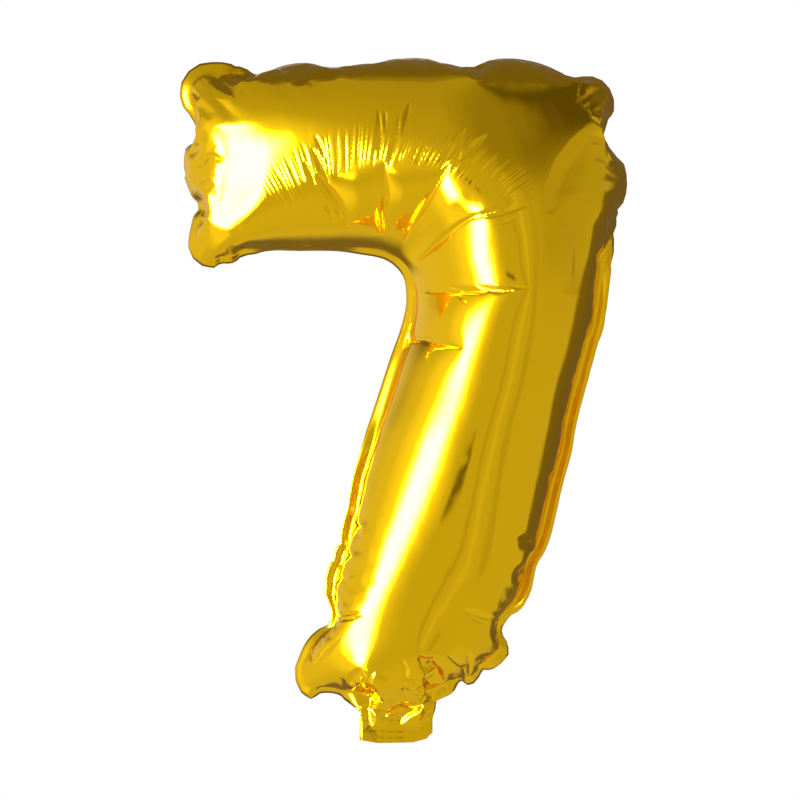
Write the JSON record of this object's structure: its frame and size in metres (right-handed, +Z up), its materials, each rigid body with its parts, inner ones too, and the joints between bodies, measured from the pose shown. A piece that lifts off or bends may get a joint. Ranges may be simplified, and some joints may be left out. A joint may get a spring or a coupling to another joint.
{
  "type": "foil number balloon",
  "caption": "Inflated gold foil balloon in the shape of the figure seven, with a flat welded margin, creases at its bend, a neck with a film valve and a tail that folds.",
  "frame": {"origin": "middle of the crease between the neck and the tail, in the plane of the weld", "axes": "+Z up the figure, +X to the right as the figure is read, +Y to the back, so the front looks along -Y"},
  "size_m": [0.2275, 0.0976, 0.3487],
  "materials": {
    "gold_foil": "polished",
    "tail_foil": "gloss",
    "valve_film": "satin"
  },
  "bodies": {
    "balloon": {"front_foil": "gold_foil", "back_foil": "gold_foil", "valve_front_root": "valve_film", "valve_back_root": "valve_film"},
    "tail": {"tail_front_film": "tail_foil", "tail_back_film": "tail_foil"},
    "front_flap": {"valve_front_flap": "valve_film"},
    "back_flap": {"valve_back_flap": "valve_film"}
  },
  "joints": [
    {"name": "tail_fold", "type": "hinge", "parent": "balloon", "child": "tail", "pos_m": [0, 0, 0], "axis": [1, 0, 0], "range_deg": [-120, 120]},
    {"name": "front_flap_part", "type": "hinge", "parent": "balloon", "child": "front_flap", "pos_m": [0, -0.00028, 0.024], "axis": [1, 0, 0], "range_deg": [0, 12], "stiffness_Nm_per_rad": 0.002},
    {"name": "back_flap_part", "type": "hinge", "parent": "balloon", "child": "back_flap", "pos_m": [0, 0.00028, 0.024], "axis": [1, 0, 0], "range_deg": [-12, 0], "stiffness_Nm_per_rad": 0.002}
  ],
  "couplings": [
    {"joint": "back_flap_part", "follows": "front_flap_part", "ratio": -1}
  ]
}
